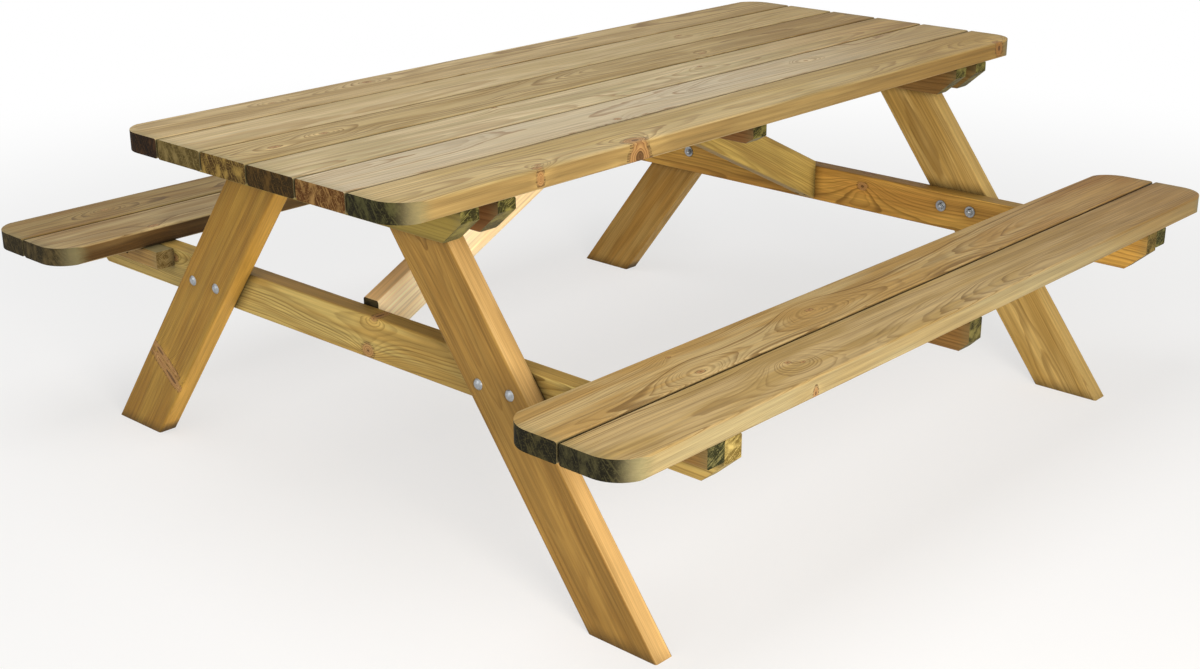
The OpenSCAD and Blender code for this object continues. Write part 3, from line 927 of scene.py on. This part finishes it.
def turned(name, rings, columns, closed, start, way, places):
    """One mesh of equal pieces turned on a lathe. A ring gives (along, radius) in mm for a turn
    from 0 to 1; closed joins the last ring to the first. A piece starts at start mm from the
    middle of the table and runs along X by way."""
    points = []
    faces = []
    for end, y, z in places:
        first = len(points)
        for ring in rings:
            for column in range(columns):
                turn = column / columns
                along, radius = ring(turn)
                x = end * (start + way * along)
                points.append(
                    (x, y + radius * math.cos(math.tau * turn), z + radius * math.sin(math.tau * turn))
                )
        count = len(rings)
        for row in range(count if closed else count - 1):
            low = first + row * columns
            high = first + (row + 1) % count * columns
            for column in range(columns):
                after = (column + 1) % columns
                faces.append((low + column, low + after, high + after, high + column))
        if not closed:
            faces.append(tuple(range(first, first + columns)))
            faces.append(tuple(range(first + (count - 1) * columns, first + count * columns)))
    mesh = bpy.data.meshes.new(name)
    mesh.from_pydata([Vector(p) / 1000 for p in points], [], faces)
    shell = bmesh.new()
    shell.from_mesh(mesh)
    bmesh.ops.recalc_face_normals(shell, faces=shell.faces)
    shell.to_mesh(mesh)
    shell.free()
    mesh.shade_smooth()
    mesh.set_sharp_from_angle(angle=math.radians(35))
    mesh.materials.append(zinc)
    piece = bpy.data.objects.new(name, mesh)
    scene.collection.objects.link(piece)
    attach(piece, "root")
    return piece


def dome_ring(share):
    """A ring of the dome, from its top at 0 to its rim at 1."""
    sphere = (DOME_RADIUS_MM**2 + DOME_HEIGHT_MM**2) / (2 * DOME_HEIGHT_MM)
    angle = share * math.asin(DOME_RADIUS_MM / sphere)
    along = DOME_HEIGHT_MM - sphere * (1 - math.cos(angle))
    return lambda turn: (along, sphere * math.sin(angle))


def thread_ring(along):
    """A ring of the thread: its ridge winds round as it goes along."""

    def ring(turn):
        wind = (along / THREAD_PITCH_MM + turn) % 1.0
        return along, BOLT_RADIUS_MM - THREAD_DEPTH_MM * abs(2 * wind - 1)

    return ring


def neck_ring(along):
    """A ring of the square neck."""
    return lambda turn: (
        along,
        BOLT_RADIUS_MM / max(abs(math.cos(math.tau * turn)), abs(math.sin(math.tau * turn))),
    )


def round_ring(along, radius):
    return lambda turn: (along, radius)


for node, (head_mm, height_mm) in BOLT_ROWS_MM.items():
    length = head_mm - BEAM_INNER_FACE_MM + WASHER_MM + NUT_HEIGHT_MM + TAIL_MM
    threaded = THREAD_TURNS * THREAD_PITCH_MM
    rings = [dome_ring(0.02 + 0.98 * row / (DOME_ROWS - 1)) for row in range(DOME_ROWS)]
    rings += [neck_ring(0.0), neck_ring(-NECK_MM), round_ring(-NECK_MM, BOLT_RADIUS_MM)]
    rings.append(round_ring(threaded - length, BOLT_RADIUS_MM))
    for row in range(1, THREAD_ROWS * THREAD_TURNS):
        rings.append(thread_ring(threaded - length - row * THREAD_PITCH_MM / THREAD_ROWS))
    rings.append(round_ring(-length, BOLT_RADIUS_MM - THREAD_DEPTH_MM))
    bolts = turned(
        f"threaded_{node}", rings, BOLT_COLUMNS, False, head_mm, 1, joint_places(height_mm)
    )
    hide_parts(node)


def hexagon_ring(along, way):
    """A ring round a nut's flats, drawn in by a cone where it cuts the corners."""

    def ring(turn):
        off_flat = math.radians(turn * 360 % 60 - 30)
        radius = NUT_HALF_MM / math.cos(off_flat)
        return along + way * CHAMFER_SLOPE * (radius - NUT_HALF_MM), radius

    return ring


rings = [
    round_ring(0.0, NUT_BORE_MM),
    round_ring(0.0, NUT_FACE_MM),
    hexagon_ring(NUT_STEP_MM, 1),
    hexagon_ring(NUT_HEIGHT_MM - NUT_STEP_MM, -1),
    round_ring(NUT_HEIGHT_MM, NUT_FACE_MM),
    round_ring(NUT_HEIGHT_MM, NUT_BORE_MM + NUT_BORE_CHAMFER_MM),
    round_ring(NUT_HEIGHT_MM - NUT_BORE_CHAMFER_MM, NUT_BORE_MM),
]
spots = [place for _, height_mm in BOLT_ROWS_MM.values() for place in joint_places(height_mm)]
nuts = turned("hexagon_nuts", rings, NUT_COLUMNS, True, BEAM_INNER_FACE_MM - WASHER_MM, -1, spots)
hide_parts("nuts")
nodes["washers"].material_slots[0].material = zinc

# ---- Wood screws ----
# Zinc-plated wood screws 5 mm thick, sunk in counterbores from below, so that only their heads
# can be seen.
for node in ("tabletop_screws", "seat_screws", "block_screws", "brace_screws"):
    nodes[node].material_slots[0].material = zinc
